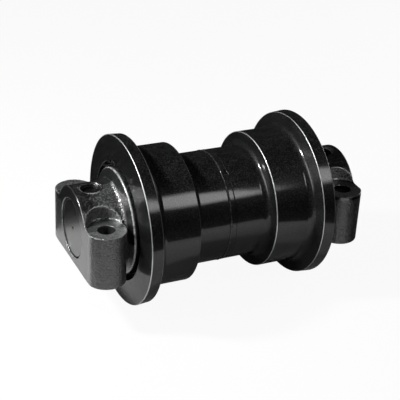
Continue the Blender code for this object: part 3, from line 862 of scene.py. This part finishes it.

# Painted shade on all of the right collar, and on the half of the left one that its half turn takes to
# the far side.
thick_half = {"right": y < FAR, "left": y < 0}
to_bolt = np.hypot(x - BOLT_X, np.abs(y) - BOLT_Y)
in_pocket = (to_bolt < SOCKET_RADIUS + POCKET_MARGIN) & (z > SOCKET_LEVEL + POCKET_MARGIN)
for side, turn in SIDES.items():
    thick = thick_half[side]
    collar = new_piece(
        f"collar_cast_{side}",
        collar_points * turn,
        collar_faces,
        casting,
        sharp_degrees=180,
        machined=machined,
        rubbed=np.maximum(rubbed, in_pocket * POCKET_BARE[side]),
        pooled=np.maximum(pooled, thick * np.clip(z - THICK_ABOVE, 0, 1)),
        seat=seat * ~thick,
    )
    collar.data.normals_split_custom_set_from_vertices((collar_normals * turn).tolist())
    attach(collar, "carrier")
    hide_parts(f"collar_{side}")
    print(collar.name, len(collar.data.polygons), "faces")

# %% [markdown]
# ## Floor and table
# A catalogue picture is white all round, with a faint shadow. The camera sees a white floor that
# mostly glows by itself, so that it stays white, and only its small matt share takes the shadow.
# The paint mirrors something else: a pale table that ends 37 cm in front of the shaft, and the
# shade close to the roller. One sheet can't be both, so there are two. Only the camera sees the
# floor. Reflections and bounced light see the table, which lies 1 mm lower.

# %% Paints of the floor and the table
FLOOR_GLOW = 0.93
TABLE_MIRRORED = 0.9
SHADE_START = 130
SHADE_END = 250


def empty_material(name):
    """A material without any nodes, and its tree."""
    material = bpy.data.materials.new(name)
    material.use_nodes = True
    material.node_tree.nodes.clear()
    return material, material.node_tree


table_top, tree = empty_material("pale_table")
matt = add(tree, "BsdfDiffuse", {"Color": linear("C8C8C8")})
glow = add(tree, "Emission", {"Color": linear("FFFFFF"), "Strength": 1.0})
depth_axis = add(tree, "SeparateXYZ", {0: add(tree, "TexCoord").outputs["Object"]}).outputs["Y"]
from_shaft = add(tree, "Math", {0: depth_axis}, operation="ABSOLUTE")
shade = {"From Min": SHADE_START * MM, "From Max": SHADE_END * MM}
# Near the roller the table's glow in reflections fades, as a painted shade.
clear = add(tree, "MapRange", {"Value": from_shaft, **shade, "To Max": TABLE_MIRRORED})
glossy = add(tree, "LightPath").outputs["Is Glossy Ray"]
mirrored = add(tree, "Math", {0: glossy, 1: clear}, operation="MULTIPLY")
add(tree, "OutputMaterial", {"Surface": add(tree, "MixShader", {0: mirrored, 1: matt, 2: glow})})

white_floor, tree = empty_material("white_floor")
matt = add(tree, "BsdfDiffuse", {"Color": linear("FAFAFA")})
glow = add(tree, "Emission", {"Color": linear("FFFFFF"), "Strength": 1.0})
add(tree, "OutputMaterial", {"Surface": add(tree, "MixShader", {0: FLOOR_GLOW, 1: matt, 2: glow})})
print("paints", table_top.name, "and", white_floor.name)

# %% Floor and table
FLOOR_LEVEL = CAD_BOX[0].z / MM
FLOOR_REACH = 6000
TABLE_FRONT = -370
TABLE_BACK = 165
TABLE_LEFT = -300
TABLE_RIGHT = 200
TABLE_DROP = 1.0


def flat_sheet(name, sides, level, finish):
    """A flat sheet under the roller, which is no part of it, with sides at left, right, front, back."""
    left, right, front, back = sides
    spots = ((left, front), (right, front), (right, back), (left, back))
    sheet = new_piece(name, [(x, y, level) for x, y in spots], [(0, 1, 2, 3)], finish)
    return sheet


table_sides = (TABLE_LEFT, TABLE_RIGHT, TABLE_FRONT, TABLE_BACK)
table = flat_sheet("table", table_sides, FLOOR_LEVEL - TABLE_DROP, table_top)
table.visible_camera = False
floor_sides = (-FLOOR_REACH, FLOOR_REACH, -FLOOR_REACH, FLOOR_REACH)
floor = flat_sheet("floor", floor_sides, FLOOR_LEVEL, white_floor)
for ray in ("diffuse", "glossy", "transmission", "shadow"):
    setattr(floor, "visible_" + ray, False)
print("table from", TABLE_FRONT, "to", TABLE_BACK, "mm, floor at", round(FLOOR_LEVEL, 1), "mm")

# %% [markdown]
# ## Dark walls
# Beyond the edge of the table the paint mirrors a dark room, a little less dark behind the roller.
# Walls with corners would show in the gloss, so a sphere of dim light stands for the room. Only
# reflections see it, and it keeps no light away.

# %% Dark walls
WALL_RADIUS = 4.0
WALL_SEGMENTS = 48
WALL_RINGS = 24
WALL_FRONT = 0.004
WALL_BACK = 0.012

wall_paint, tree = empty_material("dark_wall")
depth_axis = add(tree, "SeparateXYZ", {0: add(tree, "TexCoord").outputs["Object"]}).outputs["Y"]
depth = {"From Min": -WALL_RADIUS / 2, "From Max": WALL_RADIUS}
grey = add(tree, "MapRange", {"Value": depth_axis, **depth, "To Min": WALL_FRONT, "To Max": WALL_BACK})
add(tree, "OutputMaterial", {"Surface": add(tree, "Emission", {"Strength": grey})})
bpy.ops.mesh.primitive_uv_sphere_add(radius=WALL_RADIUS, segments=WALL_SEGMENTS, ring_count=WALL_RINGS)
walls = bpy.context.object
walls.name = "dark_walls"
walls.data.materials.append(wall_paint)
for ray in ("camera", "diffuse", "shadow"):
    setattr(walls, "visible_" + ray, False)
print(walls.name, WALL_RADIUS, "m away")

# %% [markdown]
# ## Lamp and soft panels
# The paint itself shows how such a picture is lit. A small lamp, high on the left and a little
# behind, throws the flange's clear shadow on the tread. A tall soft panel in front on the right
# gives the pale streak on the treads and the neck. One on the left lights the end of the collar,
# and one on the right the flanks that face it. A real soft box is brightest at its middle. An area
# lamp is even, with hard edges in the gloss, so the panels are sheets that glow in a gradient.

# %% Key lamp
KEY_DIRECTION = Vector((-0.727, 0.155, 0.669))
KEY_DISTANCE = 0.95
KEY_SIZE = 0.10
KEY_WATTS = 9

key_place = KEY_DIRECTION * KEY_DISTANCE
lamp = bpy.data.lights.new("key_lamp", "AREA")
lamp.size = KEY_SIZE
lamp.energy = KEY_WATTS
key = bpy.data.objects.new("key_lamp", lamp)
key.location = key_place
key.rotation_euler = (-key_place).to_track_quat("-Z", "Y").to_euler()
key.visible_camera = False
bpy.context.scene.collection.objects.link(key)
print(key.name, "of", KEY_WATTS, "W at", [round(v, 2) for v in key_place], "m")

# %% Soft panels
# The gradient falls from one in the middle to zero at the edge, and full light starts at this value.
FULL_LIGHT = 0.45
SIDE_DISTANCE = 1.2
# Half a panel's side in mm before scaling, so its object coordinates run from minus one to one.
HALF_SIDE = 1 / MM


def toward(azimuth, elevation, distance):
    """A place seen from the roller, azimuth 0 in front of it and 90 on its right, in degrees."""
    side, rise = math.radians(azimuth), math.radians(elevation)
    flat = Vector((math.sin(side), -math.cos(side), 0)) * math.cos(rise)
    return (flat + Vector((0, 0, math.sin(rise)))) * distance


def soft_panel(name, panel_place, width, height, radiance, side_fade=1.0):
    """A panel that glows most at its middle, turned to the roller. A low side_fade widens its light."""
    material, tree = empty_material(name)
    spots = add(tree, "TexCoord").outputs["Object"]
    place = add(tree, "Mapping", {"Vector": spots, "Scale": (side_fade, 1, 1)})
    core = add(tree, "TexGradient", {0: place}, gradient_type="SPHERICAL").outputs["Fac"]
    power = add(tree, "MapRange", {"Value": core, "From Max": FULL_LIGHT, "To Max": radiance})
    add(tree, "OutputMaterial", {"Surface": add(tree, "Emission", {"Strength": power})})
    signs = ((-1, -1), (1, -1), (1, 1), (-1, 1))
    corners = [(x * HALF_SIDE, y * HALF_SIDE, 0) for x, y in signs]
    panel = new_piece(name, corners, [(0, 1, 2, 3)], material)
    panel.location = panel_place
    panel.scale = (width / 2, height / 2, 1)
    panel.rotation_euler = (-panel_place).to_track_quat("Z", "Y").to_euler()
    panel.visible_camera = False
    panel.visible_shadow = False
    print(name, width, "by", height, "m, radiance", radiance)


front_place = Vector((0.505, -1.0, 0.95))
soft_panel("front_panel", front_place, width=0.28, height=0.64, radiance=6.0, side_fade=0.4)
soft_panel("left_panel", toward(-80, 22, SIDE_DISTANCE), width=0.5, height=1.1, radiance=5.0)
soft_panel("right_panel", toward(105, 6, SIDE_DISTANCE), width=0.9, height=0.6, radiance=4.0)

# %% [markdown]
# ## White world
# The background is white wherever the camera looks past the floor. A mirror or a glass would see it
# white too, but here the dark walls stand before it. As a light it is only a faint fill, so that
# the lamp and the panels shape the roller. The Standard view keeps white at white.

# %% World
WORLD_FILL = 0.05

world = bpy.data.worlds.new("white_studio")
bpy.context.scene.world = world
world.use_nodes = True
tree = world.node_tree
path = add(tree, "LightPath").outputs
direct = path["Is Camera Ray"]
for ray in ("Is Glossy Ray", "Is Transmission Ray"):
    direct = add(tree, "Math", {0: direct, 1: path[ray]}, operation="MAXIMUM")
strength = add(tree, "MapRange", {"Value": direct, "To Min": WORLD_FILL, "To Max": 1.0})
connect(tree, tree.nodes["Background"], {"Color": linear("FFFFFF"), "Strength": strength})
bpy.context.scene.view_settings.view_transform = "Standard"
print("one lamp, three panels and a", world.name)
